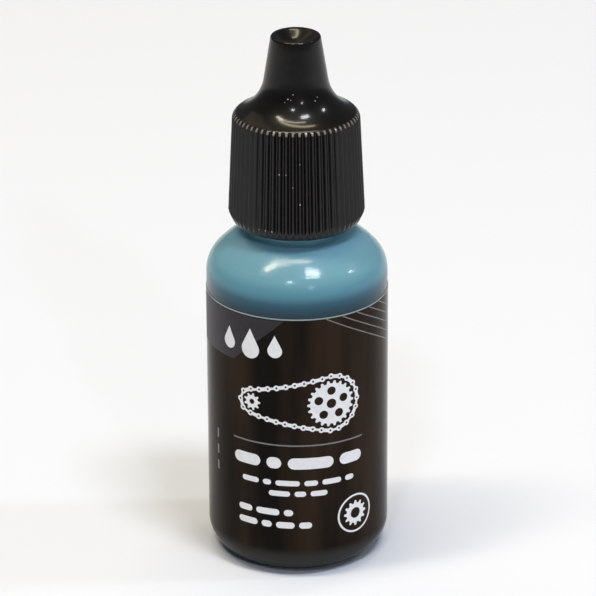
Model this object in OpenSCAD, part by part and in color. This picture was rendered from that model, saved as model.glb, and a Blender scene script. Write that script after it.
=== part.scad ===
// Small dropper bottle of chain lube, 15 ml, with a ribbed spouted screw cap.
// Millimetres, standing on z = 0 with its axis on the z axis.

/* [Bottle] */
// Outside diameter of the straight body
body_d = 24.84; // [24.4:0.02:30]
// Wall thickness of the blown body
body_wall = 1.0; // [0.8:0.05:1.3]
// Radius of the heel, where the body turns into the base
heel_r = 4.2; // [3:0.1:5]
// Height of the top of the straight body
shoulder_z = 41.2; // [36:0.1:60]
// Radius of the rounded shoulder
shoulder_r = 4.6; // [3.5:0.1:6]
// How far that edge turns before the crown begins, in degrees
shoulder_turn = 43; // [35:1:55]
// Radius of the crown, the domed top of the shoulder that runs in to the neck
crown_r = 14; // [12:0.5:20]
// How far the middle of the base is pushed up
push_up = 0.8; // [0.4:0.1:1.5]
// Diameter of the pushed up dome, inside the ring that the bottle stands on
push_up_d = 12.8; // [10:0.1:15]

/* [Neck] */
// Outside diameter of the neck, at the root of its thread
neck_d = 13.1; // [12.4:0.1:13.3]
// Bore of the neck
neck_bore_d = 9.6; // [9:0.1:10.4]
// Height of the neck above the point where the shoulder meets it
neck_h = 14.6; // [13.5:0.1:15.5]
// Radius of the blend between shoulder and neck
neck_blend = 1.0; // [0.4:0.1:1.4]
// Diameter of the bead round the foot of the neck
bead_d = 14.2; // [13.8:0.1:14.6]
// Height of that bead's middle above the foot of the neck
bead_z = 3.2; // [2.4:0.1:3.8]
// Radius of the bead's round section
bead_r = 0.8; // [0.6:0.1:1]

/* [Thread] */
// Diameter over the thread's crest
thread_d = 14.4; // [14.1:0.05:14.6]
// Rise of the thread in one turn
thread_lead = 2.12; // [1.8:0.01:2.4]
// Number of turns
thread_turns = 1.6; // [1.2:0.1:2.2]
// Distance from the neck's mouth to the middle of the thread's upper end
thread_start = 1.9; // [1.4:0.1:2.6]
// Width of the thread at its root
thread_root_w = 1.3; // [1:0.05:1.5]
// Width of the thread at its crest
thread_crest_w = 0.55; // [0.4:0.05:0.8]

/* [Dropper tip] */
// Thickness of the flange that sits on the neck's mouth
flange_t = 0.9; // [0.7:0.1:1.2]
// Length of the plug that is pressed into the neck
plug_h = 7.2; // [6:0.1:9]
// Wall of the plug
plug_wall = 1.0; // [0.8:0.05:1.2]
// Width of the chamfer that leads the plug into the bore, half as wide as it is high
plug_lead = 0.5; // [0.3:0.05:0.6]
// How far the hollow of the plug runs straight up into the flange
well_rise = 0.65; // [0.4:0.05:0.8]
// Play of the plug in the bore, on the radius
plug_play = 0.1; // [0.06:0.01:0.15]
// How much the sealing rings are larger than the bore, on the radius
ring_grip = 0.04; // [0.02:0.01:0.06]
// Radius of the round section of a sealing ring
ring_r = 0.35; // [0.25:0.05:0.45]
// Distances of the two sealing rings from the neck's mouth
ring_drops = [2.1, 4.6];
// Height of the nozzle above the flange
nozzle_h = 9.6; // [8:0.1:10]
// Diameter of the nozzle where it leaves the flange
nozzle_base_d = 8.8; // [8.4:0.1:9]
// Diameter of the nozzle's end
nozzle_end_d = 3.6; // [3.2:0.1:3.8]
// Radius of the rounded edge of the nozzle's end
nozzle_edge_r = 0.4; // [0.2:0.05:0.5]
// Diameter of the hole that the drops leave by
orifice_d = 1.2; // [1:0.05:1.4]
// Length of that hole
orifice_h = 2.2; // [1.8:0.1:2.6]
// How much wider than that hole the throat below it is, on the radius
throat_step = 0.35; // [0.2:0.05:0.5]

/* [Cap] */
// Depth of the cap from its rim to the roof that seals on the flange
cap_depth = 14.3; // [13.8:0.1:14.6]
// Thickness of the roof where the flare begins
roof_t = 1.25; // [1:0.05:1.5]
// Largest diameter of the skirt, above the chamfer of its rim
skirt_d = 18.64; // [18.2:0.02:19.4]
// Draft of the skirt, in degrees
draft = 2.7; // [1.5:0.1:3]
// Outside diameter of the rim
rim_d = 17.32; // [17:0.02:17.6]
// Height of the chamfer between rim and skirt
rim_chamfer = 1.45; // [1:0.05:2]
// Number of ribs round the skirt
rib_count = 60; // [40:1:64]
// Depth of the grooves between the ribs
rib_depth = 0.38; // [0.3:0.01:0.45]
// Radius of the grooves' round floor
groove_r = 0.33; // [0.28:0.01:0.36]
// Radius of the rounded edge on top of the skirt
corner_r = 1.35; // [1:0.05:1.8]
// How far that edge turns before the flare to the spout begins, in degrees
corner_turn = 67; // [58:0.5:70]
// Radius of the flare from the shoulder of the cap into the spout
flare_r = 5.9; // [5:0.1:6.6]
// Half angle of the tapered spout, in degrees
spout_taper = 9.2; // [8:0.05:11]
// Thickness of the end of the spout, between its hollow and its dish
end_wall = 1.0; // [0.7:0.1:1.5]
// Diameter of the dish in the end of the spout
dish_d = 5.2; // [4.4:0.1:5.4]
// Depth of that dish
dish_depth = 0.9; // [0.5:0.1:1]
// Play between the thread's crest and the cap's inner wall, on the radius
skirt_play = 0.2; // [0.12:0.01:0.25]
// Lead-in chamfer inside the rim
lead_in = 0.45; // [0.2:0.05:0.6]
// Play between the nozzle and the hollow spout round it
spout_play = 0.5; // [0.4:0.05:0.6]
// Play between the sealing pin and the orifice, on the radius
pin_play = 0.08; // [0.05:0.01:0.1]
// How far the sealing pin reaches into the orifice
pin_reach = 1.6; // [1:0.1:1.8]

/* [Label] */
// Thickness of the shrunk label sleeve
label_t = 0.06; // [0.04:0.01:0.12]
// Distance from the label's upper edge up to the start of the shoulder
label_drop = 2.2; // [0.5:0.1:12]
// Height of the label's lower edge, tucked round the heel
label_low_z = 0.7; // [0.5:0.1:3]
// Width of the seam where the film overlaps at the back
seam_w = 3.2; // [2:0.1:5]
// Gap between label and bottle
label_play = 0.02; // [0.01:0.01:0.05]

/* [Lube] */
// Volume of the filling, in millilitres
fill_ml = 15; // [5:0.5:15]
// Gap left between the liquid and the wall
lube_play = 0.03; // [0.02:0.01:0.1]

/* [Hidden] */
$fn = 96;
eps = 0.01;

body_r = body_d / 2;
neck_r = neck_d / 2;
bore_r = neck_bore_d / 2;
shoulder_mid = [body_r - shoulder_r, shoulder_z];
heel_mid = [body_r - heel_r, heel_r];
crown_dir = [cos(shoulder_turn), sin(shoulder_turn)];
crown_mid = shoulder_mid + (shoulder_r - crown_r) * crown_dir;
dome_r = (pow(push_up_d / 2, 2) + pow(push_up, 2)) / (2 * push_up);
dome_mid = [0, push_up - dome_r];

// Height of a circle round the crown's middle at radius r
function crown_z(circle_r, r) = crown_mid[1] + sqrt(pow(circle_r, 2) - pow(r - crown_mid[0], 2));

neck_foot_z = crown_z(crown_r, neck_r);
neck_top_z = neck_foot_z + neck_h;
blend_mid = [neck_r + neck_blend, crown_z(crown_r + neck_blend, neck_r + neck_blend)];

flange_top_z = neck_top_z + flange_t;
nozzle_top_z = flange_top_z + nozzle_h;
plug_r = bore_r - plug_play;
well_r = plug_r - plug_wall;
well_top_z = neck_top_z + well_rise;
throat_r = orifice_d / 2 + throat_step;

cap_z = flange_top_z - cap_depth;
cap_bore_r = thread_d / 2 + skirt_play;
skirt_r = skirt_d / 2;
skirt_h = cap_depth + roof_t - corner_r * (sin(corner_turn) - sin(draft));
skirt_top_r = skirt_r - (skirt_h - rim_chamfer) * tan(draft);
corner_mid = [skirt_top_r - corner_r * cos(draft), skirt_h - corner_r * sin(draft)];
corner_dir = [cos(corner_turn), sin(corner_turn)];
flare_mid = corner_mid + (corner_r + flare_r) * corner_dir;
spout_foot = flare_mid - flare_r * [cos(spout_taper), sin(spout_taper)];
hollow_top = cap_depth + nozzle_h + spout_play;
cap_h = hollow_top + end_wall + dish_depth;
spout_end_r = spout_foot[0] - (cap_h - spout_foot[1]) * tan(spout_taper);
dish_r = (pow(dish_d / 2, 2) + pow(dish_depth, 2)) / (2 * dish_depth);
pin_r = orifice_d / 2 - pin_play;

label_top_z = shoulder_z - label_drop;

// The level that the filling reaches: its volume less what the round heel and the dome take up.
// A millilitre is 1000 cubic millimetres.
lube_inset = body_wall + lube_play;
lube_r = body_r - lube_inset;
lube_heel_r = heel_r - lube_inset;
heel_volume = PI * (pow(heel_mid[0], 2) * lube_heel_r + PI / 2 * heel_mid[0] * pow(lube_heel_r, 2)
    + 2 / 3 * pow(lube_heel_r, 3));
dome_volume = PI * pow(push_up, 2) * (3 * (dome_r + lube_inset) - push_up) / 3;
fill_z = heel_r + (1000 * fill_ml - heel_volume + dome_volume) / (PI * pow(lube_r, 2));

// The bottle's body as half a section, moved inwards by inset and closed up to radius top_r
module body_section(inset, top_r) {
    top_z = crown_z(crown_r - inset, top_r);
    edge = shoulder_mid + (shoulder_r - inset + eps) * crown_dir;
    translate([0, inset])
        square([heel_mid[0], heel_r - inset]);
    translate(heel_mid)
        circle(r = heel_r - inset);
    translate([0, heel_r])
        square([body_r - inset, shoulder_z - heel_r]);
    translate(shoulder_mid)
        circle(r = shoulder_r - inset);
    intersection() {
        translate(crown_mid)
            circle(r = crown_r - inset, $fn = 4 * $fn);
        polygon([[0, shoulder_z], shoulder_mid, edge, [edge[0], top_z], [0, top_z]]);
    }
}

// The neck's foot, blended into the crown
module neck_blend_section() {
    turn = acos((blend_mid[0] - crown_mid[0]) / (crown_r + neck_blend));
    foot = blend_mid - neck_blend * [cos(turn), sin(turn)];
    difference() {
        polygon([[0, foot[1]], foot, blend_mid, [0, blend_mid[1]]]);
        translate(blend_mid)
            circle(r = neck_blend);
    }
}

module bottle_section() {
    difference() {
        union() {
            body_section(0, neck_r);
            neck_blend_section();
            translate([0, neck_foot_z - eps])
                square([neck_r, neck_h + eps]);
            translate([bead_d / 2 - bead_r, neck_foot_z + bead_z])
                circle(r = bead_r);
        }
        difference() {
            union() {
                body_section(body_wall, bore_r);
                translate([0, neck_foot_z - body_wall])
                    square([bore_r, neck_h + 2 * body_wall]);
            }
            translate(dome_mid)
                circle(r = dome_r + body_wall, $fn = 4 * $fn);
        }
        translate(dome_mid)
            circle(r = dome_r, $fn = 4 * $fn);
    }
}

// A helical ridge in steps of 12 degrees. Its root is sunk into the neck, and its crest sinks
// in over the last four steps at each end.
module thread() {
    step = 12;
    last = floor(thread_turns * 360 / step);
    fade = 4;
    sunk = 0.15;
    function height(i) = min(1, i / fade, (last - i) / fade);
    function crest(i) = neck_r - sunk / 2 + (thread_d / 2 - neck_r + sunk / 2) * height(i);
    function station(i) = [for (p = [
            [neck_r - sunk, -thread_root_w / 2],
            [crest(i), -thread_crest_w / 2],
            [crest(i), thread_crest_w / 2],
            [neck_r - sunk, thread_root_w / 2]
        ]) [p[0] * cos(i * step), p[0] * sin(i * step), p[1] + thread_lead * i * step / 360]];
    side = 4;
    points = [for (i = [0:last]) each station(i)];
    walls = [for (i = [0:last - 1], k = [0:side - 1]) each [
        [i * side + (k + 1) % side, (i + 1) * side + k, i * side + k],
        [(i + 1) * side + (k + 1) % side, (i + 1) * side + k, i * side + (k + 1) % side]
    ]];
    far = last * side;
    ends = [[2, 1, 0], [3, 2, 0], [far, far + 1, far + 2], [far, far + 2, far + 3]];
    translate([0, 0, neck_top_z - thread_start - thread_lead * thread_turns])
        rotate([0, 0, step / 2])
            polyhedron(points = points, faces = concat(walls, ends));
}

module bottle() {
    color("#5f93a6") {
        rotate_extrude()
            bottle_section();
        thread();
    }
}

module dropper_section() {
    plug_low_z = neck_top_z - plug_h;
    difference() {
        union() {
            translate([0, neck_top_z])
                square([neck_r, flange_t]);
            polygon([[0, plug_low_z], [plug_r - plug_lead, plug_low_z], [plug_r, plug_low_z + 2 * plug_lead],
                [plug_r, neck_top_z + eps], [0, neck_top_z + eps]]);
            for (drop = ring_drops)
                translate([bore_r + ring_grip - ring_r, neck_top_z - drop])
                    circle(r = ring_r);
            polygon([[0, neck_top_z], [nozzle_base_d / 2, flange_top_z - eps],
                [nozzle_base_d / 2, flange_top_z], [nozzle_end_d / 2, nozzle_top_z - nozzle_edge_r],
                [nozzle_end_d / 2 - nozzle_edge_r, nozzle_top_z], [0, nozzle_top_z]]);
        }
        polygon([[0, plug_low_z - eps], [well_r, plug_low_z - eps], [well_r, well_top_z],
            [throat_r, nozzle_top_z - orifice_h], [orifice_d / 2, nozzle_top_z - orifice_h + throat_r],
            [orifice_d / 2, nozzle_top_z + eps], [0, nozzle_top_z + eps]]);
    }
}

module dropper_tip() {
    color("#e6e4da")
        rotate_extrude()
            dropper_section();
}

module cap_outline() {
    polygon([[0, 0], [rim_d / 2, 0], [skirt_r, rim_chamfer], [skirt_top_r, skirt_h],
        corner_mid, [0, corner_mid[1]]]);
    translate(corner_mid)
        circle(r = corner_r);
    difference() {
        polygon([[0, corner_mid[1]], corner_mid, flare_mid, spout_foot, [spout_end_r, cap_h], [0, cap_h]]);
        translate(flare_mid)
            circle(r = flare_r);
    }
}

module cap_hollow() {
    wide = nozzle_base_d / 2 + spout_play;
    narrow = nozzle_end_d / 2 + spout_play;
    polygon([[0, -eps], [cap_bore_r + lead_in + eps, -eps], [cap_bore_r, lead_in], [cap_bore_r, cap_depth],
        [0, cap_depth]]);
    difference() {
        polygon([[0, cap_depth - eps], [wide, cap_depth - eps], [wide, cap_depth],
            [narrow, hollow_top - nozzle_edge_r], [narrow - nozzle_edge_r, hollow_top], [0, hollow_top]]);
        sealing_pin();
    }
}

module sealing_pin() {
    low = hollow_top - spout_play - pin_reach;
    point = pin_r / 2;
    polygon([[0, low], [pin_r - point, low], [pin_r, low + point], [pin_r, hollow_top + eps],
        [0, hollow_top + eps]]);
}

module cap_section() {
    difference() {
        cap_outline();
        cap_hollow();
        translate([0, cap_h - dish_depth + dish_r])
            circle(r = dish_r);
    }
}

// One groove between two ribs, leaning with the draft of the skirt. It runs over at both ends,
// and its side count is kept low, since there are many grooves.
module groove() {
    over = 3;
    sides = 24;
    translate([skirt_top_r - rib_depth + groove_r, 0, skirt_h])
        rotate([0, -draft, 0])
            translate([0, 0, -skirt_h - over])
                cylinder(r = groove_r, h = skirt_h + 2 * over, $fn = sides);
}

module cap() {
    color("#15140f")
        translate([0, 0, cap_z])
            difference() {
                rotate_extrude()
                    cap_section();
                for (i = [0:rib_count - 1])
                    rotate([0, 0, i * 360 / rib_count])
                        groove();
            }
}

module label_section(outset) {
    intersection() {
        difference() {
            body_section(-outset - label_t, neck_r);
            body_section(-outset, neck_r);
        }
        translate([0, label_low_z])
            square([body_d, label_top_z - label_low_z]);
    }
}

// Where the film's two ends overlap, one lies on the other
module seam() {
    half_turn = asin(seam_w / 2 / body_r);
    rotate([0, 0, 90 - half_turn])
        rotate_extrude(angle = 2 * half_turn)
            label_section(label_play + label_t);
}

module label() {
    color("#1b1714") {
        rotate_extrude()
            label_section(label_play);
        seam();
    }
}

module lube() {
    color("#2f6f86")
        rotate_extrude()
            difference() {
                intersection() {
                    body_section(lube_inset, bore_r);
                    square([body_r, fill_z]);
                }
                translate(dome_mid)
                    circle(r = dome_r + lube_inset, $fn = 4 * $fn);
            }
}

bottle();
dropper_tip();
cap();
label();
lube();
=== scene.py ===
# %% [markdown]
# # A small bottle of chain lube
#
# The real object is a 15 ml squeeze bottle, 75 mm tall: a blown bottle of milky teal plastic,
# a black printed sleeve shrunk round it, a pressed-in dropper tip and a black screw cap with a
# ribbed skirt and a tapered spout. The solids come from the imported model, already in place and
# in metres. This file gives them their finishes, remakes the cap with rounded ribs, and adds
# what the solids leave out: the ridge inside the cap, the print and a few specks, some of them
# painted glints.

# %% Load the frame
import math

import bmesh
import bpy
from mathutils import Matrix, Vector


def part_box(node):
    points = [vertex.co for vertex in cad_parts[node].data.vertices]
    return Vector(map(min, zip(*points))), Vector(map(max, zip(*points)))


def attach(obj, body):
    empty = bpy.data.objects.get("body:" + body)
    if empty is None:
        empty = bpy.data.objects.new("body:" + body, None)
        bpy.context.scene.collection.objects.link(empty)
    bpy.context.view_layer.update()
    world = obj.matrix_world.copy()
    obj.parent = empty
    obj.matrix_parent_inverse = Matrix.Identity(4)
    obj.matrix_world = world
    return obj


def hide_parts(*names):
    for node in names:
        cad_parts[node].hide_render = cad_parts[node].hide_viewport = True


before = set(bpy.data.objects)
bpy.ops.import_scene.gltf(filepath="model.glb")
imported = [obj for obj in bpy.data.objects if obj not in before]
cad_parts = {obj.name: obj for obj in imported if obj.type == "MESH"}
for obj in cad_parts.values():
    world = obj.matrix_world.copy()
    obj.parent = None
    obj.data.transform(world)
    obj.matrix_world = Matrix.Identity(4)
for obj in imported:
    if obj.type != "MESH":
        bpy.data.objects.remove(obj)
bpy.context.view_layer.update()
MM = 0.001
scene = bpy.context.scene
scene.view_settings.view_transform = "Standard"


# %% [markdown]
# ## The camera
#
# The bottle is seen from a little over half a metre with a long lens, from 23.5 degrees above.
# The distance and the lens were fitted to the outline together, because the ellipses of the
# rims and the way in which the body narrows downwards fix both. The bottle leans a third of a
# degree to the left in the picture, so the camera is rolled by as much.

# %% Camera
LENS = 248.26            # mm, on a sensor 36 mm wide
ELEVATION = math.radians(23.528)
ROLL = math.radians(-0.315)
DISTANCE = 0.5644        # m, from the lens to the point it looks at
AIM = Vector((0.000124, 0, 0.036756))
NEAREST = 0.02           # m, and what is closer to the lens isn't drawn


def standing(spot, right, above, back):
    """The matrix of an object at that spot, with its x, y and z axes in those directions."""
    return Matrix.Translation(spot) @ Matrix((right, above, back)).transposed().to_4x4()


side = Vector((1, 0, 0))
back = Vector((0, -math.cos(ELEVATION), math.sin(ELEVATION)))
upright = back.cross(side)
right = side * math.cos(ROLL) + upright * math.sin(ROLL)
above = upright * math.cos(ROLL) - side * math.sin(ROLL)
camera_data = bpy.data.cameras.new("camera")
camera_data.lens = LENS
camera_data.clip_start = NEAREST
camera = bpy.data.objects.new("camera", camera_data)
camera.matrix_world = standing(AIM + back * DISTANCE, right, above, back)
scene.collection.objects.link(camera)
scene.camera = camera
print("camera at", [round(v, 4) for v in camera.matrix_world.translation])

# %% [markdown]
# ## Colours and nodes
#
# Hex colours are how a maker writes a colour down, but a shader works in linear light, so one
# function turns one into the other. Node trees are long to write by hand, so a second function
# feeds a node's inputs, and a third one adds a node and feeds it. They serve shaders and
# Geometry Nodes alike. The inputs of a Math node all share one name, so they are given by
# number.

# %% Helpers for colours and nodes
def linear(hex_colour):
    """An sRGB hex colour as linear RGBA."""
    parts = [int(hex_colour[i:i + 2], 16) / 255 for i in (1, 3, 5)]
    return [p / 12.92 if p <= 0.04045 else ((p + 0.055) / 1.055) ** 2.4 for p in parts] + [1]


def feed(tree, node, inputs):
    """Link a node's inputs to sockets, or give them plain values.

    A node that is given as a value stands for its first output in use.
    """
    for name, value in inputs.items():
        if isinstance(value, bpy.types.Node):
            value = next(socket for socket in value.outputs if socket.enabled)
        if isinstance(value, bpy.types.NodeSocket):
            tree.links.new(value, node.inputs[name])
        else:
            node.inputs[name].default_value = value


def add(tree, kind, inputs=None, stops=(), **settings):
    """One node with its settings, its inputs and, if it is a colour ramp, its stops."""
    node = tree.nodes.new(kind)
    for name, value in settings.items():
        setattr(node, name, value)
    feed(tree, node, inputs or {})
    if stops:
        elements = node.color_ramp.elements
        while len(elements) < len(stops):
            elements.new(0.5)
        for element, (at, colour) in zip(elements, stops):
            element.position = at
            element.color = linear(colour)
    return node


print("linear value of mid grey", round(linear("#808080")[0], 3))

# %% [markdown]
# ## Floor and light
#
# The bottle stands on matt white paper. Black glossy plastic shows its lamps more than its own
# colour, so the lamps are placed by the highlights that they leave: each stands where a mirror
# on the cap's flare or on the bottle's shoulder would have to see it. Four are white, a broad
# one in front and above and three small ones. Four are warm: a long strip overhead, a patch at
# the left of it, a second strip further back, and a large dim brown one behind. The even light
# of the world keeps the shadows soft and the colours as written.

# %% Floor and world
FLOOR_SIZE = 6.0         # m

bpy.ops.mesh.primitive_plane_add(size=FLOOR_SIZE)
floor = bpy.context.object
floor.name = "floor"

# Uncoated paper hardly shines. A cool white looks neutral under lamps that are partly warm.
paper = bpy.data.materials.new("matt_paper")
paper.use_nodes = True
feed(paper.node_tree, paper.node_tree.nodes["Principled BSDF"], {
    "Base Color": linear("#e0e5f0"), "Roughness": 0.9, "Specular IOR Level": 0.2})
floor.data.materials.append(paper)

world = bpy.data.worlds.new("room")
world.use_nodes = True
feed(world.node_tree, world.node_tree.nodes["Background"], {
    "Color": linear("#e2ebfb"), "Strength": 0.13})
scene.world = world
print("floor", FLOOR_SIZE, "m wide")

# %% Lamps
LAMP_DISTANCE = 1.6      # m
LAMP_AIM = Vector((0, 0, 0.045))


def lamp(name, towards, size, radiance, colour, along=side):
    """A rectangular lamp that shines on the bottle from that direction.

    Its width and height are shares of its distance, and its width is laid along a direction.
    Its radiance is in watts per square metre and steradian.
    """
    data = bpy.data.lights.new(name, "AREA")
    data.shape = "RECTANGLE"
    data.size, data.size_y = [share * LAMP_DISTANCE for share in size]
    data.energy = radiance * math.pi * data.size * data.size_y
    data.color = linear(colour)[:3]
    away = Vector(towards).normalized()
    level = Vector(along)
    level = (level - away * away.dot(level)).normalized()
    light = bpy.data.objects.new(name, data)
    light.matrix_world = standing(LAMP_AIM + away * LAMP_DISTANCE, level, away.cross(level), away)
    scene.collection.objects.link(light)


# White
lamp("key", (0.25, -0.315, 0.908), size=(0.23, 0.145), radiance=38, colour="#f6f9ff")
lamp("second", (0.77, 0.03, 0.64), size=(0.09, 0.075), radiance=60, colour="#f4f8ff")
lamp("third", (-0.13, -0.64, 0.76), size=(0.1, 0.06), radiance=66, colour="#f4f6ff")
lamp("small", (0.287, -0.807, 0.517), size=(0.04, 0.04), radiance=115, colour="#ffffff")

# Warm
lamp("strip", (-0.162, -0.118, 0.98), size=(0.77, 0.065), radiance=20, colour="#fff3d8",
     along=(0.98, 0.1, 0.17))
lamp("window", (-0.4, -0.135, 0.9), size=(0.2, 0.12), radiance=16, colour="#fff3d8",
     along=(0.69, 0.17, 0.08))
lamp("rear", (-0.06, 0.07, 0.998), size=(0.75, 0.1), radiance=14.5, colour="#fff0cc",
     along=(0.92, 0.4, 0.05))
lamp("behind", (-0.37, 0.575, 0.73), size=(0.7, 0.5), radiance=0.7, colour="#e0c8a0")

# %% [markdown]
# ## The bottle's plastic
#
# Every finish starts from the real material. The bottle is blown from low-density polyethylene,
# tinted teal. It looks milky and waxy, because light soaks in and comes out again near by. A
# paler colour could stand for that, but subsurface scattering also softens the shades as the
# plastic does. Next to the black sleeve less light comes back out, and that shade is painted
# into the teal, which falls off to dark over the last millimetres above the label. Under the cap
# the teal is painted lighter, as painted light against the cap's shadow. The skin has a haze,
# which a rough base gives, and a thin gloss with fine level wrinkles, which a coat gives. The
# bump goes into both, since the coat doesn't take it from the base. Polyethylene refracts light
# by 1.51, about as much as the shader's own 1.5, so that value stays.

# %% Milky teal polyethylene of the bottle
def finish(name, roughness, specular):
    """A new material, its tree, its shader and its object coordinates."""
    material = bpy.data.materials.new(name)
    material.use_nodes = True
    tree = material.node_tree
    shader = tree.nodes["Principled BSDF"]
    feed(tree, shader, {"Roughness": roughness, "Specular IOR Level": specular})
    place = add(tree, "ShaderNodeTexCoord").outputs["Object"]
    return material, tree, shader, place


def paint(name, material):
    """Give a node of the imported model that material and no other."""
    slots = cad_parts[name].data.materials
    slots.clear()
    slots.append(material)
    print(name, "painted with", material.name)


CLOUD, WRINKLE, WRINKLE_DEPTH = 4 * MM, 0.5 * MM, 0.018 * MM
WRINKLES_LEVEL = (0.5, 0.5, 2)       # twice as wide as the size says, and half as high
SOAK = 1.8 * MM                      # how far light travels inside
TEAL_LOW, TEAL_HIGH = 38.5 * MM, 49.5 * MM

# Height over the table in mm, and the colour there. The dark above the sleeve is painted
# shade, and the lighter teal under the cap is painted light against its shadow.
TEAL_AND_SHADE_BY_HEIGHT = [(38.9, "#082e3c"), (40.0, "#0e4254"), (41.0, "#245b71"), (42.2, "#588da0"),
                  (43.8, "#6b9cab"), (45.5, "#6f9eb0"), (47.0, "#74a6bb"), (48.4, "#80b8cc")]

bottle_plastic, tree, shader, place = finish("blown_ldpe", roughness=0.34, specular=0.12)
apart = add(tree, "ShaderNodeSeparateXYZ", {"Vector": place})
height = add(tree, "ShaderNodeMapRange", {
    "Value": apart.outputs["Z"], "From Min": TEAL_LOW, "From Max": TEAL_HIGH})
teal_and_shade_stops = [((z * MM - TEAL_LOW) / (TEAL_HIGH - TEAL_LOW), c) for z, c in TEAL_AND_SHADE_BY_HEIGHT]
# This ramp paints shade above the sleeve and light under the cap into the teal
teal_and_shade = add(tree, "ShaderNodeValToRGB", {"Fac": height}, stops=teal_and_shade_stops)
cloud = add(tree, "ShaderNodeTexNoise", {"Vector": place, "Scale": 1 / CLOUD, "Detail": 3})
cloudy = add(tree, "ShaderNodeHueSaturation", {"Color": teal_and_shade, "Fac": cloud, "Value": 1.02})
flat = add(tree, "ShaderNodeMapping", {"Vector": place, "Scale": WRINKLES_LEVEL})
skin = add(tree, "ShaderNodeTexNoise", {"Vector": flat, "Scale": 1 / WRINKLE, "Detail": 2})
wrinkled = add(tree, "ShaderNodeBump", {"Height": skin, "Strength": 1.0, "Distance": WRINKLE_DEPTH})
feed(tree, shader, {
    "Base Color": cloudy, "Coat Weight": 0.5, "Coat Roughness": 0.13,
    "Subsurface Weight": 0.5, "Subsurface Radius": (0.6, 1.0, 1.2), "Subsurface Scale": SOAK,
    "Normal": wrinkled, "Coat Normal": wrinkled})
paint("bottle", bottle_plastic)

# %% [markdown]
# ## The dropper tip and the oil
#
# The tip is moulded from undyed polyethylene. It shows once the cap is lifted: off-white, waxy
# and a little uneven, with light soaking in as it does in the bottle, only less far. The oil
# inside is a liquid, so it is smooth and glossy all over, and its teal drifts a little from
# place to place. Both are plain shapes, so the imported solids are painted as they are.

# %% Natural polyethylene of the dropper tip
tip_plastic, tree, shader, place = finish("moulded_natural_ldpe", roughness=0.34, specular=0.5)
cloud = add(tree, "ShaderNodeTexNoise", {"Vector": place, "Scale": 1 / (2.5 * MM), "Detail": 3})
shade = add(tree, "ShaderNodeValToRGB", {"Fac": cloud}, stops=[(0.3, "#dcdcd2"), (0.7, "#e8e8e0")])
feed(tree, shader, {
    "Base Color": shade, "Subsurface Weight": 0.4, "Subsurface Radius": (1.0, 0.9, 0.8),
    "Subsurface Scale": 1.5 * MM})
paint("dropper_tip", tip_plastic)

# %% Teal oil
oil, tree, shader, place = finish("chain_oil", roughness=0.06, specular=0.5)
drift = add(tree, "ShaderNodeTexNoise", {"Vector": place, "Scale": 1 / (6 * MM)})
shade = add(tree, "ShaderNodeValToRGB", {"Fac": drift}, stops=[(0.3, "#2a6478"), (0.7, "#31708a")])
feed(tree, shader, {"Base Color": shade})
paint("lube", oil)

# %% [markdown]
# ## The sleeve
#
# The label is a plastic film, printed black and shrunk on with heat. It is thin, smooth and
# glossy. Where it gave unevenly as it shrank, it has a slight waviness along the bottle. Faint
# brown streaks along it are a painted reflection of warm surroundings, and one noise, drawn out
# along the height, gives both. Round the heel, where the film is tucked under, a grey tint is a
# painted reflection of the floor. Its cut edge at the top is a pale hairline. None of this needs
# another shape, so the material does it all, and the imported solid stays as it is.

# %% Glossy black film of the sleeve, with painted reflections
COLOUR_A, COLOUR_B = 6, 7            # a Mix node's inputs for two colours
# Heights where the painted reflection of the floor round the heel ends and is full
FLOOR_REFLECTION_END, FLOOR_REFLECTION_FULL = 4.6 * MM, 3.0 * MM
HAIRLINE = 0.16 * MM
STREAK, STREAK_LONG, STREAK_DEPTH = 6 * MM, (1, 1, 0.12), 0.05 * MM

label_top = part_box("label")[1].z
film, tree, shader, place = finish("shrunk_glossy_film", roughness=0.13, specular=0.05)
along = add(tree, "ShaderNodeMapping", {"Vector": place, "Scale": STREAK_LONG})
streaks_and_reflection = add(tree, "ShaderNodeTexNoise", {"Vector": along, "Scale": 1 / STREAK, "Detail": 3})
# The brown in these shades is a painted reflection of warm surroundings
black = add(tree, "ShaderNodeValToRGB", {"Fac": streaks_and_reflection}, stops=[(0.38, "#120f0c"), (0.62, "#30241a")])
apart = add(tree, "ShaderNodeSeparateXYZ", {"Vector": place})
# Grey round the heel: a painted reflection of the floor
heel_floor_reflection = add(tree, "ShaderNodeMapRange", {
    "Value": apart.outputs["Z"], "From Min": FLOOR_REFLECTION_END, "From Max": FLOOR_REFLECTION_FULL},
    interpolation_type="SMOOTHSTEP")
with_floor_reflection = add(tree, "ShaderNodeMix", {
    "Factor": heel_floor_reflection, COLOUR_A: black, COLOUR_B: linear("#353432")}, data_type="RGBA")
edge = add(tree, "ShaderNodeMath", {0: apart.outputs["Z"], 1: label_top - HAIRLINE},
           operation="GREATER_THAN")
edged = add(tree, "ShaderNodeMix", {
    "Factor": edge, COLOUR_A: with_floor_reflection, COLOUR_B: linear("#9aa6ab")}, data_type="RGBA")
wavy = add(tree, "ShaderNodeBump", {"Height": streaks_and_reflection, "Strength": 0.35, "Distance": STREAK_DEPTH})
feed(tree, shader, {"Base Color": edged, "Normal": wavy})
paint("label", film)

# %% [markdown]
# ## The cap's plastic
#
# The cap is moulded from polypropylene with carbon black in it. A rough base gives the faint
# haze that its skin has, and a smoother coat the gloss over it. Flow in the mould leaves it a
# trace uneven. At their upper ends, where they round into the shoulder, the ribs carry a painted
# highlight: pale strokes where the lamps overhead would catch the rounded rib ends. The material
# draws them: a wave says where a rib is, like the one that will cut the grooves, and the height
# says how far up and down a stroke goes.

# %% Black polypropylene of the cap, with a highlight painted pale on its rib tips
RIBS = 60
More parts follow.
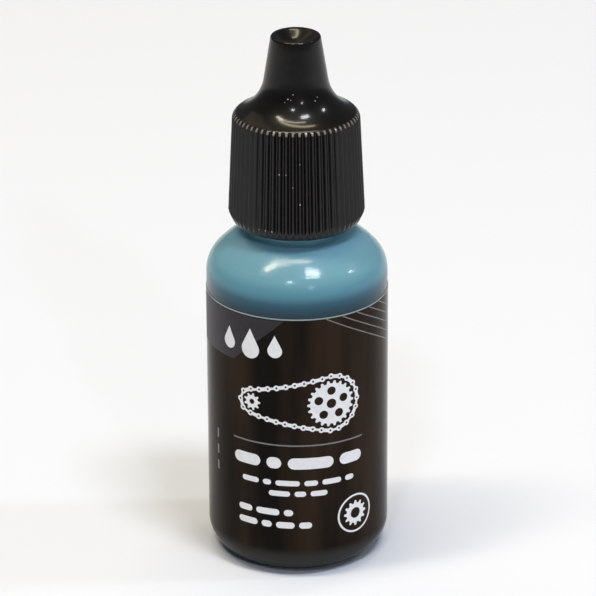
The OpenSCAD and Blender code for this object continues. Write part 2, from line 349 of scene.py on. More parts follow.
# Heights where the painted highlight on the rib tips starts, is full, fades and ends
TIP_HIGHLIGHT_FROM, TIP_HIGHLIGHT_FULL, TIP_HIGHLIGHT_FADE, TIP_HIGHLIGHT_END = 63.65 * MM, 63.85 * MM, 64.1 * MM, 64.3 * MM
RIB_FLANK, RIB_TOP = -0.1, -0.85     # the wave there, where a groove's middle is 1
FLOW, FLOW_DEPTH = 2 * MM, 0.02 * MM

cap_plastic, tree, shader, place = finish("moulded_black_pp", roughness=0.4, specular=0.1)
flow = add(tree, "ShaderNodeTexNoise", {"Vector": place, "Scale": 1 / FLOW, "Detail": 4})
black = add(tree, "ShaderNodeValToRGB", {"Fac": flow}, stops=[(0.35, "#080706"), (0.65, "#100e0b")])
apart = add(tree, "ShaderNodeSeparateXYZ", {"Vector": place})
turn = add(tree, "ShaderNodeMath", {0: apart.outputs["Y"], 1: apart.outputs["X"]},
           operation="ARCTAN2")
wave = add(tree, "ShaderNodeMath", {0: turn, 1: RIBS}, operation="MULTIPLY")
wave = add(tree, "ShaderNodeMath", {0: wave}, operation="COSINE")
tip_highlight = add(tree, "ShaderNodeMapRange", {"Value": wave, "From Min": RIB_FLANK, "From Max": RIB_TOP},
            interpolation_type="SMOOTHSTEP")
for nothing, full in ((TIP_HIGHLIGHT_FROM, TIP_HIGHLIGHT_FULL), (TIP_HIGHLIGHT_END, TIP_HIGHLIGHT_FADE)):
    fade = add(tree, "ShaderNodeMapRange", {
        "Value": apart.outputs["Z"], "From Min": nothing, "From Max": full},
        interpolation_type="SMOOTHSTEP")
    tip_highlight = add(tree, "ShaderNodeMath", {0: tip_highlight, 1: fade}, operation="MULTIPLY")
# Pale on the rib tips: a painted highlight
with_tip_highlight = add(tree, "ShaderNodeMix", {
    "Factor": tip_highlight, COLOUR_A: black, COLOUR_B: linear("#78726c")}, data_type="RGBA")
ripple = add(tree, "ShaderNodeBump", {"Height": flow, "Strength": 0.2, "Distance": FLOW_DEPTH})
feed(tree, shader, {
    "Base Color": with_tip_highlight, "Coat Weight": 0.5, "Coat Roughness": 0.13, "Normal": ripple})
print("plastic of the cap:", cap_plastic.name, "with", len(tree.nodes), "nodes")

# %% [markdown]
# ## Trees that grow a mesh
#
# Geometry Nodes make what repeats or follows a rule: the ribs, the ridge, the links of the
# printed chain and the specks, some of them painted glints. A tree has named inputs for its
# sizes, so one can try others in its modifier. All trees begin and end alike, so two functions
# do that, and a third one runs a tree and bakes what it makes into a plain mesh, since the model
# is kept as meshes.

# %% Helpers that open, close and bake a tree
WELD = 0.001 * MM        # points nearer to each other than this are one


def new_tree(name, inputs):
    """An empty tree that takes a mesh, the named inputs and a material, and what it is given."""
    tree = bpy.data.node_groups.new(name, "GeometryNodeTree")
    tree.interface.new_socket("Geometry", in_out="INPUT", socket_type="NodeSocketGeometry")
    for title, kind in inputs.items():
        tree.interface.new_socket(title, in_out="INPUT", socket_type="NodeSocket" + kind)
    tree.interface.new_socket("Material", in_out="INPUT", socket_type="NodeSocketMaterial")
    tree.interface.new_socket("Geometry", in_out="OUTPUT", socket_type="NodeSocketGeometry")
    return tree, add(tree, "NodeGroupInput").outputs


def close_tree(tree, geometry, given):
    """The tree's end: instances made real, and the material set."""
    real = add(tree, "GeometryNodeRealizeInstances", {"Geometry": geometry})
    painted = add(tree, "GeometryNodeSetMaterial", {"Geometry": real, "Material": given["Material"]})
    add(tree, "NodeGroupOutput", {"Geometry": painted})


def grow(name, mesh, tree, values):
    """A new object of that mesh, run through the tree and baked to a plain mesh.

    The modifier's inputs go by their identifiers, and are set before the first evaluation.
    """
    source = bpy.data.objects.new(name, mesh)
    scene.collection.objects.link(source)
    modifier = source.modifiers.new("grow", "NODES")
    modifier.node_group = tree
    for item in tree.interface.items_tree:
        if item.in_out == "INPUT" and item.name in values:
            modifier[item.identifier] = values[item.name]
    depsgraph = bpy.context.evaluated_depsgraph_get()
    source.update_tag()
    depsgraph.update()
    baked = bpy.data.meshes.new_from_object(source.evaluated_get(depsgraph), depsgraph=depsgraph)
    source.modifiers.remove(modifier)
    source.data = baked
    baked.name = name
    triangles = sum(len(face.vertices) - 2 for face in baked.polygons)
    print(name, len(baked.vertices), "vertices,", triangles, "triangles")
    return source


print("points are one within", round(WELD / MM, 4), "mm")

# %% [markdown]
# ## The cap
#
# The cap is a turned shape with 60 drafted grooves. A lathe does the turning: the outline of
# half a section is walked once, and every point of it goes round the axis. Then each point is
# asked how far it may stand out at its angle, and the grooves push it inwards. The smaller of
# the two radii wins, softly, so the grooves run out by themselves on the rounded shoulder and
# on the rim's chamfer, with rounded edges. The dish in the spout's end has a small round floor
# and a straight steep wall, and its outer lip is well rounded: a plain hollow with a sharp edge
# would catch the light in another way.

# %% Ways to draw an outline
def arc(middle, radius, start, end, steps):
    """Points on an arc, from one angle to another."""
    turns = [start + (end - start) * i / steps for i in range(steps + 1)]
    return [Vector((middle[0] + radius * math.cos(a), middle[1] + radius * math.sin(a)))
            for a in turns]


def stretch(start, end, steps):
    """Points on a straight line, without its ends."""
    return [Vector(start).lerp(Vector(end), i / steps) for i in range(1, steps)]


def eased(before, corner, after, radius, steps=3):
    """A corner between two straight sides, rounded with about that radius."""
    corner = Vector(corner)
    first = corner + (Vector(before) - corner).normalized() * radius
    last = corner + (Vector(after) - corner).normalized() * radius
    return [first.lerp(corner, t).lerp(corner.lerp(last, t), t)
            for t in (i / steps for i in range(steps + 1))]


print("a corner has", len(eased((1, 0), (0, 0), (0, 1), 0.1)), "points")

# %% Outline of the cap, from the middle of its dish round to the tip of its pin
# All in mm, with heights over the rim
cap_low, cap_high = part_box("cap")
CAP_HEIGHT = round((cap_high.z - cap_low.z) / MM, 3)
SKIRT_R, DRAFT = 9.32, math.radians(2.7)                      # at its foot, narrower upwards
RIM_R, RIM_CHAMFER = 8.66, 1.45
DEPTH, ROOF = 14.3, 1.25                                      # the bore, and what closes it
CORNER_R, CORNER_TURN = 1.35, math.radians(67)                # the rounded shoulder
FLARE_R, TAPER = 5.9, math.radians(9.2)                       # and the spout's taper
DISH_R, DISH_FLOOR_R, DISH_SLOPE = 2.6, 1.4, math.radians(34)
DISH_ROUND, LIP_ROUND = 0.12, 0.34
BORE_R, LEAD_IN = 7.4, 0.45
HOLLOW_WIDE, HOLLOW_NARROW, HOLLOW_TOP = 4.9, 2.3, 24.4       # inside the spout
PIN_R, PIN_LOW = 0.52, 22.3

# The outside, from the dish over the lip, the spout, the flare and the shoulder
skirt_h = DEPTH + ROOF - CORNER_R * (math.sin(CORNER_TURN) - math.sin(DRAFT))
skirt_top_r = SKIRT_R - (skirt_h - RIM_CHAMFER) * math.tan(DRAFT)
corner_mid = Vector((skirt_top_r - CORNER_R * math.cos(DRAFT), skirt_h - CORNER_R * math.sin(DRAFT)))
flare_mid = corner_mid + (CORNER_R + FLARE_R) * Vector((math.cos(CORNER_TURN), math.sin(CORNER_TURN)))
spout_foot = flare_mid - FLARE_R * Vector((math.cos(TAPER), math.sin(TAPER)))
spout_end = Vector((spout_foot.x - (CAP_HEIGHT - spout_foot.y) * math.tan(TAPER), CAP_HEIGHT))
dish_sphere = DISH_FLOOR_R / math.sin(DISH_SLOPE)
dish_low = CAP_HEIGHT - (DISH_R - DISH_FLOOR_R) * math.tan(DISH_SLOPE)
dish_mid = (0, dish_low + dish_sphere * math.cos(DISH_SLOPE))
dish = arc(dish_mid, dish_sphere, -math.pi / 2, -math.pi / 2 + DISH_SLOPE, steps=8)
dish_edge, skirt_top = (DISH_R, CAP_HEIGHT), (skirt_top_r, skirt_h)

outline = dish + stretch(dish[-1], dish_edge, steps=4)
outline += eased(dish[-1], dish_edge, spout_end, DISH_ROUND)
outline += eased(dish_edge, spout_end, spout_foot, LIP_ROUND, steps=8)
outline += stretch(outline[-1], spout_foot, steps=6)
outline += arc(flare_mid, FLARE_R, math.pi + TAPER, math.pi + CORNER_TURN, steps=14)
outline += arc(corner_mid, CORNER_R, CORNER_TURN, DRAFT, steps=16)[1:]

# Corners from the skirt's foot through the bore to the pin, with their rounding and the steps
# on to the next one
corners = [((SKIRT_R, RIM_CHAMFER), 0.12, 7), ((RIM_R, 0), 0.12, 1),
           ((BORE_R + LEAD_IN, 0), 0.08, 1), ((BORE_R, LEAD_IN), 0.08, 4), ((BORE_R, DEPTH), 0.3, 1),
           ((HOLLOW_WIDE, DEPTH), 0.1, 4), ((HOLLOW_NARROW, HOLLOW_TOP), 0.4, 1),
           ((PIN_R, HOLLOW_TOP), 0.15, 1), ((PIN_R, PIN_LOW), PIN_R / 2, 1)]
pin_tip = (0, PIN_LOW)
befores = [skirt_top] + [corner for corner, rounding, steps in corners]
afters = befores[2:] + [pin_tip]
outline += stretch(skirt_top, befores[1], steps=7)
for before, (corner, rounding, steps), after in zip(befores, corners, afters):
    outline += eased(before, corner, after, rounding) + stretch(corner, after, steps)
outline += [Vector(pin_tip)]
print("outline of", len(outline), "points")

# %% Lathe: a grid with a column for each step round, and a row for each point of the outline
outline_mesh = bpy.data.meshes.new("cap_outline")
outline_mesh.from_pydata([(p.x * MM, 0, p.y * MM + cap_low.z) for p in outline],
                         [(i, i + 1) for i in range(len(outline) - 1)], [])

lathe, given = new_tree("ribbed_lathe", {
    "Outline points": "Int", "Steps round": "Int", "Ribs": "Int", "Groove depth": "Float",
    "Groove fullness": "Float", "Skirt radius": "Float", "Skirt foot": "Float", "Draft": "Float",
    "Edge softness": "Float"})
columns = add(lathe, "ShaderNodeMath", {0: given["Steps round"], 1: 1}, operation="ADD")
grid = add(lathe, "GeometryNodeMeshGrid", {
    "Vertices X": columns, "Vertices Y": given["Outline points"]})
index = add(lathe, "GeometryNodeInputIndex")
turn = add(lathe, "ShaderNodeMath", {0: index, 1: given["Outline points"]}, operation="DIVIDE")
step = add(lathe, "ShaderNodeMath", {0: turn}, operation="FLOOR")
row = add(lathe, "ShaderNodeMath", {0: index, 1: given["Outline points"]}, operation="MODULO")
angle = add(lathe, "ShaderNodeMath", {0: step, 1: given["Steps round"]}, operation="DIVIDE")
angle = add(lathe, "ShaderNodeMath", {0: angle, 1: math.tau}, operation="MULTIPLY")
spot = add(lathe, "GeometryNodeSampleIndex", {
    "Geometry": given["Geometry"], "Value": add(lathe, "GeometryNodeInputPosition"), "Index": row},
    data_type="FLOAT_VECTOR", domain="POINT")
spot = add(lathe, "ShaderNodeSeparateXYZ", {"Vector": spot})
print("lathe with", len(lathe.nodes), "nodes so far")

# %% Lathe: grooves, and each point in its place
# A wave with one crest for each groove: 1 in the middle of a groove, 0 on top of a rib
wave = add(lathe, "ShaderNodeMath", {0: angle, 1: given["Ribs"]}, operation="MULTIPLY")
wave = add(lathe, "ShaderNodeMath", {0: wave}, operation="COSINE")
wave = add(lathe, "ShaderNodeMath", {0: wave, 1: 0.5, 2: 0.5}, operation="MULTIPLY_ADD")
wave = add(lathe, "ShaderNodeMath", {0: wave, 1: given["Groove fullness"]}, operation="POWER")
depth = add(lathe, "ShaderNodeMath", {0: wave, 1: given["Groove depth"]}, operation="MULTIPLY")

# The drafted skirt less the groove, and the outline: the smaller radius holds
rise = add(lathe, "ShaderNodeMath", {0: spot.outputs["Z"], 1: given["Skirt foot"]},
           operation="SUBTRACT")
lean = add(lathe, "ShaderNodeMath", {0: given["Draft"]}, operation="TANGENT")
lean = add(lathe, "ShaderNodeMath", {0: rise, 1: lean}, operation="MULTIPLY")
line = add(lathe, "ShaderNodeMath", {0: given["Skirt radius"], 1: lean}, operation="SUBTRACT")
groove = add(lathe, "ShaderNodeMath", {0: line, 1: depth}, operation="SUBTRACT")
radius = add(lathe, "ShaderNodeMath", {
    0: spot.outputs["X"], 1: groove, 2: given["Edge softness"]}, operation="SMOOTH_MIN")

# Each point goes to its place. The grid's faces then look inwards, so they are flipped.
cosine = add(lathe, "ShaderNodeMath", {0: angle}, operation="COSINE")
sine = add(lathe, "ShaderNodeMath", {0: angle}, operation="SINE")
x = add(lathe, "ShaderNodeMath", {0: radius, 1: cosine}, operation="MULTIPLY")
y = add(lathe, "ShaderNodeMath", {0: radius, 1: sine}, operation="MULTIPLY")
spun = add(lathe, "ShaderNodeCombineXYZ", {"X": x, "Y": y, "Z": spot.outputs["Z"]})
turned = add(lathe, "GeometryNodeSetPosition", {"Geometry": grid, "Position": spun})
closed = add(lathe, "GeometryNodeMergeByDistance", {"Geometry": turned, "Distance": WELD})
outward = add(lathe, "GeometryNodeFlipFaces", {"Mesh": closed})
smooth = add(lathe, "GeometryNodeSetShadeSmooth", {"Geometry": outward})
close_tree(lathe, smooth, given)

cap = grow("cap_shell", outline_mesh, lathe, {
    "Outline points": len(outline), "Steps round": 12 * RIBS, "Ribs": RIBS,
    "Groove depth": 0.5 * MM, "Groove fullness": 0.75, "Skirt radius": SKIRT_R * MM,
    "Skirt foot": cap_low.z + RIM_CHAMFER * MM, "Draft": DRAFT, "Edge softness": 0.12 * MM,
    "Material": cap_plastic})
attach(cap, "closure")
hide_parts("cap")

# %% [markdown]
# ## The thread inside the cap
#
# With the cap off, one sees the ridge that winds up its bore. It is right-handed like the
# neck's thread and sits half a lead under it, so the two ridges lie one beneath the other and
# pull the cap down. The solids leave it out, because the model lifts the cap straight up, and
# two threads would catch. A spiral curve carries a low trapezoid round, and the trapezoid
# shrinks towards both ends, as the mould cuts it.

# %% Ridge in the cap's bore
LEAD, RIDGE_TURNS = 2.12, 1.6
RIDGE_START, RIDGE_START_ANGLE = 55.87, math.radians(6)
RIDGE_H, RIDGE_FOOT, RIDGE_CREST, RIDGE_SUNK = 0.5, 1.1, 0.5, 0.12
RIDGE_END = 0.1          # what is left of the section at both ends

section = [(-RIDGE_SUNK, -RIDGE_FOOT / 2), (RIDGE_H, -RIDGE_CREST / 2), (RIDGE_H, RIDGE_CREST / 2),
           (-RIDGE_SUNK, RIDGE_FOOT / 2)]
section_mesh = bpy.data.meshes.new("ridge_section")
section_mesh.from_pydata([(x * MM, y * MM, 0) for x, y in section],
                         [(0, 1), (1, 2), (2, 3), (3, 0)], [])

winding, given = new_tree("inside_thread", {
    "Turns": "Float", "Lead": "Float", "Bore radius": "Float", "Start height": "Float",
    "Start angle": "Float", "Fade": "Float"})
rise = add(winding, "ShaderNodeMath", {0: given["Turns"], 1: given["Lead"]}, operation="MULTIPLY")
spiral = add(winding, "GeometryNodeCurveSpiral", {
    "Resolution": 96, "Rotations": given["Turns"], "Start Radius": given["Bore radius"],
    "End Radius": given["Bore radius"], "Height": rise, "Reverse": False})

# How near the closer end is, as a share of the fade, but never less than the ridge's end
along = add(winding, "GeometryNodeSplineParameter")
left = add(winding, "ShaderNodeMath", {0: 1, 1: along}, operation="SUBTRACT")
grown = add(winding, "ShaderNodeMath", {0: along, 1: left}, operation="MINIMUM")
grown = add(winding, "ShaderNodeMath", {0: grown, 1: given["Fade"]}, operation="DIVIDE")
grown = add(winding, "ShaderNodeMath", {0: grown, 1: 1}, operation="MINIMUM")
grown = add(winding, "ShaderNodeMath", {0: grown, 1: RIDGE_END}, operation="MAXIMUM")

level = add(winding, "GeometryNodeSetCurveNormal", {"Curve": spiral}, mode="Z_UP")
swept = add(winding, "GeometryNodeMeshToCurve", {"Mesh": given["Geometry"]})
ridge = add(winding, "GeometryNodeCurveToMesh", {
    "Curve": level, "Profile Curve": swept, "Scale": grown, "Fill Caps": True})
lift = add(winding, "ShaderNodeCombineXYZ", {"Z": given["Start height"]})
spin = add(winding, "ShaderNodeCombineXYZ", {"Z": given["Start angle"]})
wound = add(winding, "GeometryNodeTransform", {
    "Geometry": ridge, "Translation": lift, "Rotation": spin})
close_tree(winding, wound, given)

cap_thread = grow("cap_thread", section_mesh, winding, {
    "Turns": RIDGE_TURNS, "Lead": LEAD * MM, "Bore radius": BORE_R * MM,
    "Start height": RIDGE_START * MM, "Start angle": RIDGE_START_ANGLE, "Fade": 0.08,
    "Material": cap_plastic})
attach(cap_thread, "closure")
crest = min(v.co.xy.length for v in cap_thread.data.vertices) / MM
foot = min(v.co.z for v in cap_thread.data.vertices) / MM
print("ridge reaches in to", round(crest, 2), "mm, from z", round(foot, 2))

# %% [markdown]
# ## Print on the sleeve
#
# The film is printed in white, grey and plum before it is shrunk on. The design is a plain one:
# drops of oil, a chain on two sprockets, bars, dashes, a badge, slanting lines and a field. The
# film's material could draw it, but as thin sheets of ink over the film the shapes keep crisp
# edges. Each is drawn flat, as on a drawing sheet, in millimetres: x runs round the bottle from
# the middle of the front, and y is the height over the table. A flat face only bends where it
# has points, so the sheet is cut into narrow columns first. Then a small Geometry Nodes tree
# wraps it round: what was x becomes an angle, and what was y becomes height.

# %% Outlines that a printer would draw
def ring(middle, radius, steps=36):
    """A circle as a closed outline."""
    return arc(middle, radius, 0, math.tau, steps)[:-1]


def bar(x, y, length, width):
    """A bar with round ends that starts at x, its middle line at height y."""
    r = width / 2
    far_end = arc((x + length - r, y), r, -math.pi / 2, math.pi / 2, steps=8)
    return far_end + arc((x + r, y), r, math.pi / 2, math.pi * 1.5, steps=8)


def row_of_bars(y, width, space, lengths, start=None):
    """Bars side by side, centred on the front or from start."""
    x = -(sum(lengths) + space * (len(lengths) - 1)) / 2 if start is None else start
    bars = []
    for length in lengths:
        bars.append(bar(x, y, length, width))
        x += length + space
    return bars


def drop(x, y, size, fullness=0.31):
    """A drop of oil that stands on height y, with its point at the top."""
    r = size * fullness
    touch = math.asin(r / (size - r))
    return arc((x, y + r), r, touch, -math.pi - touch, steps=28) + [Vector((x, y + size))]


def cog(middle, teeth, root, tip):
    """The outline of a sprocket. Its teeth are trapezoids, given in shares of their pitch."""
    corners = ((-0.32, root), (-0.13, tip), (0.13, tip), (0.32, root))
    return [arc(middle, radius, (tooth + share) * math.tau / teeth, 0, 1)[0]
            for tooth in range(teeth) for share, radius in corners]


def belt(big, big_r, small, small_r, steps=40):
    """The closed path round two circles that lie level, the small one on the left."""
    touch = math.acos((big_r - small_r) / (big[0] - small[0]))
    right_turn = arc(big, big_r, math.pi + touch, 3 * math.pi - touch, steps)
    return right_turn + arc(small, small_r, math.pi - touch, math.pi + touch, steps)


def filled(name, outlines):
    """Closed outlines as one flat mesh. An outline inside another is a hole."""
    drawing = bpy.data.curves.new(name, "CURVE")
    drawing.dimensions = "2D"
    drawing.fill_mode = "BOTH"
    for points in outlines:
        spline = drawing.splines.new("POLY")
        spline.points.add(len(points) - 1)
        spline.points.foreach_set("co", [c for p in points for c in (p[0] * MM, p[1] * MM, 0, 1)])
        spline.use_cyclic_u = True
    drawn = bpy.data.objects.new(name, drawing)
    sheet = bpy.data.meshes.new_from_object(drawn)
    bpy.data.objects.remove(drawn)
    print(name, "from", len(outlines), "outlines")
    return sheet


print("a ring has", len(ring((0, 0), 1)), "points")

# %% The tree that wraps a sheet round the sleeve
SLEEVE_R = round(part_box("label")[1].x / MM, 3)
COLUMN, SHEET_HALF = 0.5, 20.0
INK, UNDERPRINT = 0.014, 0.008       # how far the ink stands off the film

wrap, given = new_tree("wrap_on_sleeve", {"Sleeve radius": "Float", "Ink height": "Float"})
sheet = add(wrap, "ShaderNodeSeparateXYZ", {"Vector": add(wrap, "GeometryNodeInputPosition")})
around = add(wrap, "ShaderNodeMath", {0: sheet.outputs["X"], 1: given["Sleeve radius"]},
             operation="DIVIDE")
face_r = add(wrap, "ShaderNodeMath", {0: given["Sleeve radius"], 1: given["Ink height"]},
             operation="ADD")
sine = add(wrap, "ShaderNodeMath", {0: around}, operation="SINE")
cosine = add(wrap, "ShaderNodeMath", {0: around}, operation="COSINE")
x = add(wrap, "ShaderNodeMath", {0: sine, 1: face_r}, operation="MULTIPLY")
y = add(wrap, "ShaderNodeMath", {0: cosine, 1: face_r}, operation="MULTIPLY")
y = add(wrap, "ShaderNodeMath", {0: y, 1: -1}, operation="MULTIPLY")
bent = add(wrap, "ShaderNodeCombineXYZ", {"X": x, "Y": y, "Z": sheet.outputs["Y"]})
bent = add(wrap, "GeometryNodeSetPosition", {"Geometry": given["Geometry"], "Position": bent})
bent = add(wrap, "GeometryNodeSetShadeSmooth", {"Geometry": bent})
close_tree(wrap, bent, given)


def printed(name, sheet, height, ink):
    """A flat mesh, cut into columns and wrapped on the sleeve in that ink, facing outwards."""
    cut = bmesh.new()
    cut.from_mesh(sheet)
    for i in range(int(-SHEET_HALF / COLUMN), int(SHEET_HALF / COLUMN) + 1):
        bmesh.ops.bisect_plane(cut, geom=cut.verts[:] + cut.edges[:] + cut.faces[:], dist=WELD,
                               plane_co=(i * COLUMN * MM, 0, 0), plane_no=(1, 0, 0))
    bmesh.ops.dissolve_degenerate(cut, dist=WELD, edges=cut.edges[:])
    for face in cut.faces:
        if face.normal.z < 0:
            face.normal_flip()
    cut.to_mesh(sheet)
    cut.free()
    piece = grow(name, sheet, wrap, {
        "Sleeve radius": SLEEVE_R * MM, "Ink height": height * MM, "Material": ink})
    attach(piece, "flask")


print("sheet", 2 * SHEET_HALF, "mm wide, in columns of", COLUMN, "mm")

# %% [markdown]
# ## Inks
#
# Screen printed ink is a thin layer of paint with pigment. Beside the glossy film it looks
# matt, and it is a little uneven in strength, because the screen lays down more here and less
# there. The three inks differ in colour alone, so one function mixes them all.

# %% Inks
def ink_finish(name, dark, light):
    """Screen printed ink between those two shades."""
    ink, tree, shader, place = finish(name, roughness=0.42, specular=0.3)
    body = add(tree, "ShaderNodeTexNoise", {"Vector": place, "Scale": 1 / (0.7 * MM), "Detail": 2})
    shade = add(tree, "ShaderNodeValToRGB", {"Fac": body}, stops=[(0.3, dark), (0.7, light)])
    feed(tree, shader, {"Base Color": shade})
    return ink


white_ink = ink_finish("white_screen_ink", "#eaebee", "#f2f3f6")
grey_ink = ink_finish("grey_screen_ink", "#747274", "#807e80")
plum_ink = ink_finish("plum_grey_screen_ink", "#221e24", "#28232a")
print("inks", [ink.name for ink in (white_ink, grey_ink, plum_ink)])

# %% [markdown]
# ## The printed chain
#
# A roller chain has outer plates and, between them, the narrower bridges of the inner ones. The
# path round both sprockets is a curve, and it is cut into an even number of equal steps. On
# every second step there is a plate with two pin holes, and on the others a bridge.

# %% The chain, one link at a time
BIG, BIG_R, SMALL, SMALL_R = (4.7, 26.2), 4.0, (-6.5, 26.2), 1.75
PITCH, PLATE_R, PIN_HOLE_R = 1.3, 0.42, 0.15
BRIDGE_LENGTH, BRIDGE_WIDTH = 0.62, 0.34
WAIST = math.radians(40)             # where a plate's round ends stop, from its long axis

plate_outline = arc((-PITCH / 2, 0), PLATE_R, WAIST, math.tau - WAIST, steps=20)
plate_outline += arc((PITCH / 2, 0), PLATE_R, WAIST - math.pi, math.pi - WAIST, steps=20)
pin_holes = [ring((s * PITCH / 2, 0), PIN_HOLE_R, steps=10) for s in (-1, 1)]
path = belt(BIG, BIG_R, SMALL, SMALL_R)
path_mesh = bpy.data.meshes.new("chain_path")
path_mesh.from_pydata([(x * MM, y * MM, 0) for x, y in path],
                      [(i, (i + 1) % len(path)) for i in range(len(path))], [])
path_object = bpy.data.objects.new("chain_path", path_mesh)
scene.collection.objects.link(path_object)
run = sum((path[i] - path[i - 1]).length for i in range(len(path)))
links = 2 * round(run / PITCH / 2)

chained, given = new_tree("chain_round_sprockets", {
    "Path": "Object", "Links": "Int", "Bridge length": "Float", "Bridge width": "Float"})
route = add(chained, "GeometryNodeObjectInfo", {"Object": given["Path"]})
route = add(chained, "GeometryNodeMeshToCurve", {"Mesh": route.outputs["Geometry"]})
spots = add(chained, "GeometryNodeCurveToPoints", {"Curve": route, "Count": given["Links"]})
forward = add(chained, "FunctionNodeAlignRotationToVector", {"Vector": spots.outputs["Tangent"]},
              axis="X", pivot_axis="Z")
index = add(chained, "GeometryNodeInputIndex")
odd = add(chained, "ShaderNodeMath", {0: index, 1: 2}, operation="MODULO")
even = add(chained, "ShaderNodeMath", {0: 1, 1: odd}, operation="SUBTRACT")
bridge = add(chained, "GeometryNodeMeshGrid", {
    "Size X": given["Bridge length"], "Size Y": given["Bridge width"],
    "Vertices X": 2, "Vertices Y": 2})
both = add(chained, "GeometryNodeJoinGeometry")
for chosen, shape in ((even, given["Geometry"]), (odd, bridge)):
    copies = add(chained, "GeometryNodeInstanceOnPoints", {
        "Points": spots, "Selection": chosen, "Instance": shape, "Rotation": forward})
    feed(chained, both, {"Geometry": copies})
close_tree(chained, both, given)

flat_chain = grow("flat_chain", filled("plate", [plate_outline] + pin_holes), chained, {
    "Path": path_object, "Links": links, "Bridge length": BRIDGE_LENGTH * MM,
    "Bridge width": BRIDGE_WIDTH * MM, "Material": white_ink})
printed("print_chain", flat_chain.data.copy(), INK, white_ink)
bpy.data.objects.remove(flat_chain)
bpy.data.objects.remove(path_object)
print(links, "links")

# %% [markdown]
# ## The other shapes
#
# The white shapes are drawn as one set of outlines, where an outline inside another is a hole:
# that makes the sprockets' holes and the badge's rim. The slanting lines and the dashes are
# grey. They are straight on the sheet, so they curve round the bottle as printed lines do. The
# plum field is printed first, so it stands lower than the rest.

# %% Drops, sprockets, bars and badge
DROPS = [(-10.3, 33.2, 3.3), (-6.7, 32.6, 4.4), (-3.1, 33.2, 3.3)]      # x, foot and size
BADGE = (8.5, 8.7)
LINE_START = -8.8

# Height, width and space of each row of bars, their lengths, and its start if it isn't centred
ROWS = [(17.5, 1.7, 0.9, (4.2, 2.1, 6.4, 3.6)),
        (14.5, 0.8, 0.6, (2.6, 1.2, 3.4, 1.9, 2.8, 1.4)),
        (12.9, 0.8, 0.6, (3.0, 1.6, 2.4)),
        (10.0, 0.95, 0.6, (2.2, 3.4, 1.3), LINE_START),
        (8.1, 0.95, 0.6, (3.0, 1.5, 2.6, 1.8), LINE_START)]

shapes = [drop(*each) for each in DROPS]
shapes += [cog(BIG, teeth=22, root=3.0, tip=3.4), ring(BIG, radius=0.7)]
shapes += [ring(hole, radius=0.62, steps=20)
           for hole in arc(BIG, 1.9, math.pi / 2, math.pi / 2 + math.tau, steps=5)[:-1]]
shapes += [cog(SMALL, teeth=9, root=0.93, tip=1.26), ring(SMALL, radius=0.38, steps=16)]
for each in ROWS:
    shapes += row_of_bars(*each)
shapes += [ring(BADGE, radius=2.9), ring(BADGE, radius=2.62)]
shapes += [cog(BADGE, teeth=12, root=1.5, tip=1.9), ring(BADGE, radius=0.8)]
printed("print_white", filled("white_shapes", shapes), INK, white_ink)

# %% Slanting lines, rule, dashes and field
STRIPES, STRIPE_SLOPE, STRIPE_W, STRIPE_GAP = 6, -0.54, 0.17, 1.3
STRIPE_LOW, STRIPE_LEFT, STRIPE_END = 31.4, 3.6, 17.5
RULE_LENGTH, RULE_HEIGHT, RULE_W = 19.4, 20.2, 0.22
DASH_LEFT, DASH_W, DASH_H, DASH_FEET = -13.5, 0.4, 1.4, (13.8, 16.2, 18.6)
PRINT_TOP, PRINT_EDGE = 38.7, -18.5
FIELD_LOW, FIELD_CORNER, FIELD_RIGHT = 31.8, -9.6, -1.8

lines = []
for i in range(STRIPES):
    low = STRIPE_LOW + i * STRIPE_GAP
    start = max(STRIPE_LEFT, STRIPE_END + (PRINT_TOP - low) / STRIPE_SLOPE)
    high = low + (start - STRIPE_END) * STRIPE_SLOPE
    lines.append([(start, high), (STRIPE_END, low), (STRIPE_END, low + STRIPE_W),
                  (start, high + STRIPE_W)])
lines += [bar(-RULE_LENGTH / 2, RULE_HEIGHT, RULE_LENGTH, RULE_W)]
lines += [[(DASH_LEFT, z), (DASH_LEFT + DASH_W, z), (DASH_LEFT + DASH_W, z + DASH_H),
           (DASH_LEFT, z + DASH_H)] for z in DASH_FEET]
printed("print_grey", filled("grey_shapes", lines), INK, grey_ink)
field = [(PRINT_EDGE, PRINT_TOP), (PRINT_EDGE, FIELD_LOW), (FIELD_CORNER, FIELD_LOW),
         (FIELD_RIGHT, PRINT_TOP)]
printed("print_field", filled("field", [field]), UNDERPRINT, plum_ink)

# %% [markdown]
# ## Specks and glints
#
# A bottle that has been used carries a few specks: fine splashes on the ribs and on the flare,
# dried to pale grains with a soft gloss. The pale beads are partly such specks and partly
# painted glints: the three low on the skirt paint glints on the ends of ribs, and the others
# stand for specks and glints both. They could be dots in the plastic's colour, but real grains
# stand out and catch the light. So points are placed by angle and height, and Geometry Nodes
# put a small round bead on each, partly sunk in the surface and of its own size.

# %% Specks and painted glints on the cap
SPECK_SUNK = 0.02        # mm, on the ribs
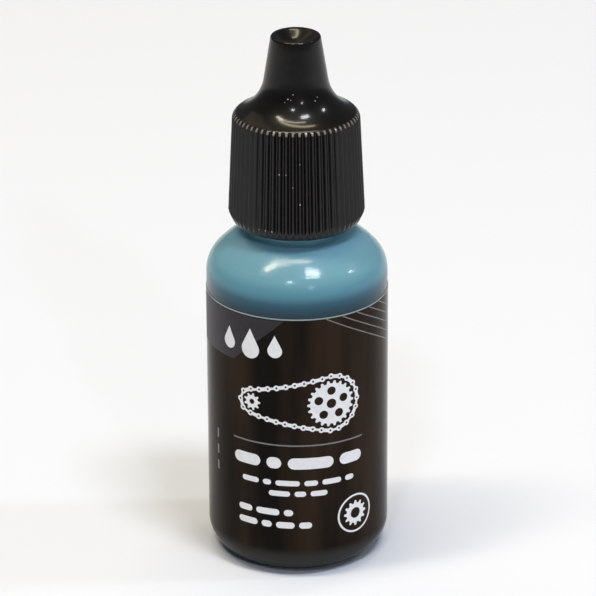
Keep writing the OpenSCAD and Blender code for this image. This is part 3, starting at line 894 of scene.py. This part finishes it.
# The three beads at 1.4 mm are painted glints, the others specks and painted glints both
# Degrees from the front, and mm over the cap's rim
SPECKS_AND_GLINTS_ON_RIBS = [(-15, 9.6), (-9, 9.6), (-3, 7.85), (3, 11.1), (3, 5.45), (-33, 1.4), (-27, 1.4),
                  (-21, 1.4)]
SPECKS_AND_GLINTS_ON_FLARE = [(-17.7, 18.4), (-13.3, 18.8), (-8.2, 18.7), (-5.1, 19.4), (31.5, 18.4),
                   (36.8, 18.8)]


def at(angle, radius, z):
    """A point in metres at that angle from the front, radius and height over the cap's rim."""
    turn = math.radians(angle)
    return (radius * math.sin(turn) * MM, -radius * math.cos(turn) * MM, z * MM + cap_low.z)


spots = [at(a, SKIRT_R - (z - RIM_CHAMFER) * math.tan(DRAFT) - SPECK_SUNK, z)
         for a, z in SPECKS_AND_GLINTS_ON_RIBS]
spots += [at(a, flare_mid.x - math.sqrt(FLARE_R ** 2 - (z - flare_mid.y) ** 2), z)
          for a, z in SPECKS_AND_GLINTS_ON_FLARE]
spot_mesh = bpy.data.meshes.new("speck_and_glint_spots")
spot_mesh.from_pydata(spots, [], [])

sprinkle, given = new_tree("specks_and_glints", {"Smallest": "Float", "Largest": "Float", "Seed": "Int"})
size = add(sprinkle, "FunctionNodeRandomValue", {
    "Min": given["Smallest"], "Max": given["Largest"], "Seed": given["Seed"]})
bead = add(sprinkle, "GeometryNodeMeshIcoSphere", {"Radius": 1.0, "Subdivisions": 2})
bead = add(sprinkle, "GeometryNodeSetShadeSmooth", {"Geometry": bead})
beads = add(sprinkle, "GeometryNodeInstanceOnPoints", {
    "Points": given["Geometry"], "Instance": bead, "Scale": size})
close_tree(sprinkle, beads, given)

# Pale as dried oil, and pale also where the beads paint glints
splash_and_glint, tree, shader, place = finish("dried_splash_and_glints", roughness=0.25, specular=0.6)
grain = add(tree, "ShaderNodeTexNoise", {"Vector": place, "Scale": 1 / (0.2 * MM)})
shade = add(tree, "ShaderNodeValToRGB", {"Fac": grain}, stops=[(0.3, "#9a9a92"), (0.7, "#c0c0ba")])
feed(tree, shader, {"Base Color": shade})
specks_and_glints = grow("cap_specks", spot_mesh, sprinkle, {
    "Smallest": 0.06 * MM, "Largest": 0.1 * MM, "Seed": 7, "Material": splash_and_glint})
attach(specks_and_glints, "closure")
